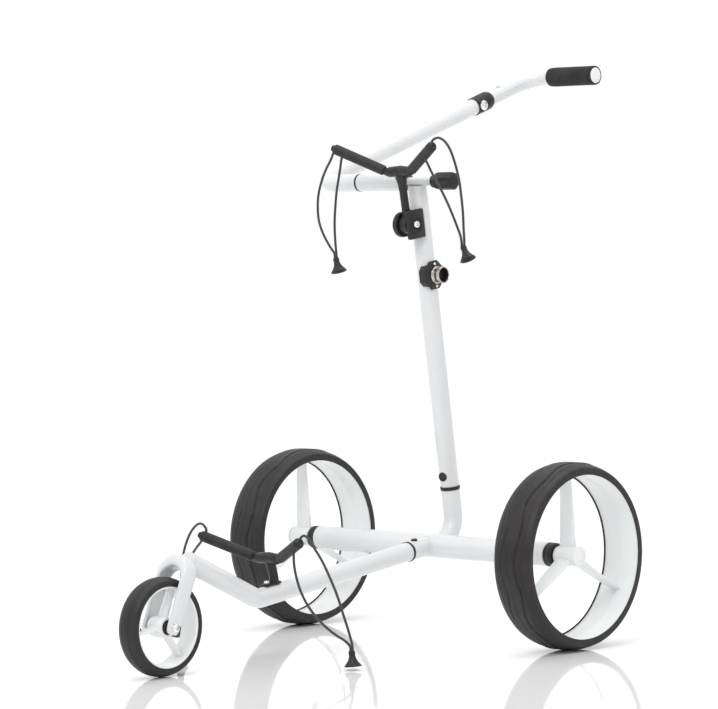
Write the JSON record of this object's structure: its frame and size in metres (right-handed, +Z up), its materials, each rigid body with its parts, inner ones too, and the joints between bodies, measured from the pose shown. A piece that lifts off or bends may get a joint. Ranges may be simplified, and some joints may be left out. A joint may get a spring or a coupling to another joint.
{
  "type": "three-wheel push cart",
  "caption": "Folding push cart for a sports bag: bent tube frame, spoked wheels, forked front arm, padded Y brackets with elastic cords, and an offset tilting, telescoping handle.",
  "frame": {"origin": "on the floor, at the middle of the cart's footprint", "axes": "+X toward the cart's left wheel, +Y toward the handle's grip, +Z up"},
  "size_m": [0.636, 1.2061, 0.9223],
  "materials": {
    "white_paint": "glossy white powder coat",
    "rim_plastic": "semi-gloss white moulded plastic",
    "black_plastic": "satin black moulded plastic",
    "black_paint": "satin black paint",
    "tyre": "soft rubber, moulded grooves",
    "sleeve_rubber": "matte rubber sleeve",
    "foam": "soft foam",
    "cord": "braided elastic cover",
    "bright_steel": "polished",
    "bearing_steel": "turned steel",
    "nickel": "warm nickel"
  },
  "bodies": {
    "base": {"base_frame": "white_paint", "axle_collar_left": "black_plastic", "axle_collar_right": "black_plastic", "stub_axle_left": "bearing_steel", "stub_axle_right": "bearing_steel"},
    "rear_wheel_left": {"rear_rim_left": "rim_plastic", "rear_tyre_left": "tyre", "rear_bearing_left_inner": "bearing_steel", "rear_bearing_left_outer": "bearing_steel", "rear_hub_cap_left": "rim_plastic"},
    "rear_wheel_right": {"rear_rim_right": "rim_plastic", "rear_tyre_right": "tyre", "rear_bearing_right_inner": "bearing_steel", "rear_bearing_right_outer": "bearing_steel", "rear_hub_cap_right": "rim_plastic"},
    "front_arm": {"front_arm": "white_paint", "arm_seam_ring": "black_plastic", "front_axle_bolt": "bright_steel", "front_axle_nut": "bright_steel", "lower_bracket": "black_paint", "lower_sleeve_left": "sleeve_rubber", "lower_sleeve_right": "sleeve_rubber", "lower_bracket_screw": "bright_steel", "lower_left_cord_outer": "cord", "lower_left_cord_inner": "cord", "lower_right_cord_outer": "cord", "lower_right_cord_inner": "cord", "lower_left_toggle": "black_plastic", "lower_right_toggle": "black_plastic"},
    "front_wheel": {"front_rim": "rim_plastic", "front_tyre": "tyre", "front_bearing_left": "black_plastic", "front_bearing_right": "black_plastic"},
    "arm_button": {"arm_button": "black_plastic"},
    "mast": {"mast": "white_paint", "mast_seam_ring": "black_plastic", "upper_clamp_block": "black_plastic", "upper_pivot_bolt": "bright_steel", "umbrella_block": "black_plastic", "umbrella_socket": "nickel"},
    "mast_button": {"mast_button": "black_plastic"},
    "upper_bracket": {"upper_bracket": "black_paint", "upper_sleeve_left": "sleeve_rubber", "upper_sleeve_right": "sleeve_rubber", "upper_left_cord_outer": "cord", "upper_left_cord_inner": "cord", "upper_right_cord_outer": "cord", "upper_right_cord_inner": "cord", "upper_left_toggle": "black_plastic", "upper_right_toggle": "black_plastic"},
    "handle": {"handle_lower_tube": "white_paint", "tilt_ring": "black_plastic", "draw_rod": "bright_steel", "handle_collar": "black_plastic", "collar_bolt": "bright_steel"},
    "clamp_knob": {"clamp_knob": "black_plastic"},
    "grip_section": {"handle_upper_tube": "white_paint", "handle_grip": "foam", "grip_end_cap": "rim_plastic"},
    "handle_button": {"handle_button": "bearing_steel"}
  },
  "joints": [
    {"name": "rear_wheel_left_spin", "type": "hinge", "parent": "base", "child": "rear_wheel_left", "pos_m": [0.285, 0.071, 0.145], "axis": [1, 0, 0], "continuous": true},
    {"name": "rear_wheel_right_spin", "type": "hinge", "parent": "base", "child": "rear_wheel_right", "pos_m": [-0.285, 0.071, 0.145], "axis": [1, 0, 0], "continuous": true},
    {"name": "front_arm_plug", "type": "slide", "parent": "base", "child": "front_arm", "axis": [0, -0.9921, -0.1257], "range_m": [0, 0.06]},
    {"name": "front_wheel_spin", "type": "hinge", "parent": "front_arm", "child": "front_wheel", "pos_m": [0, -0.529, 0.074], "axis": [1, 0, 0], "continuous": true},
    {"name": "arm_button_press", "type": "slide", "parent": "base", "child": "arm_button", "axis": [0, 0.1257, -0.9921], "range_m": [0, 0.003], "stiffness_N_per_m": 200, "springref_m": -0.001},
    {"name": "mast_plug", "type": "slide", "parent": "base", "child": "mast", "axis": [0, -0.1392, 0.9903], "range_m": [0, 0.075]},
    {"name": "mast_button_press", "type": "slide", "parent": "mast", "child": "mast_button", "axis": [0, 0.9903, 0.1392], "range_m": [0, 0.003], "stiffness_N_per_m": 200, "springref_m": -0.001},
    {"name": "upper_bracket_tilt", "type": "hinge", "parent": "mast", "child": "upper_bracket", "pos_m": [0, 0.02592, 0.65894], "axis": [1, 0, 0], "range_deg": [-10, 60]},
    {"name": "handle_tilt", "type": "hinge", "parent": "mast", "child": "handle", "pos_m": [0, 0.04771, 0.72663], "axis": [1, 0, 0], "range_deg": [-90, 60]},
    {"name": "clamp_knob_turn", "type": "hinge", "parent": "handle", "child": "clamp_knob", "pos_m": [0, 0.04771, 0.72663], "axis": [1, 0, 0], "range_deg": [0, 720]},
    {"name": "handle_telescope", "type": "slide", "parent": "handle", "child": "grip_section", "axis": [0, 0.9489, 0.3156], "range_m": [-0.025, 0.1]},
    {"name": "handle_button_press", "type": "slide", "parent": "grip_section", "child": "handle_button", "axis": [0, 0.3156, -0.9489], "range_m": [0, 0.003], "stiffness_N_per_m": 200, "springref_m": -0.001}
  ]
}
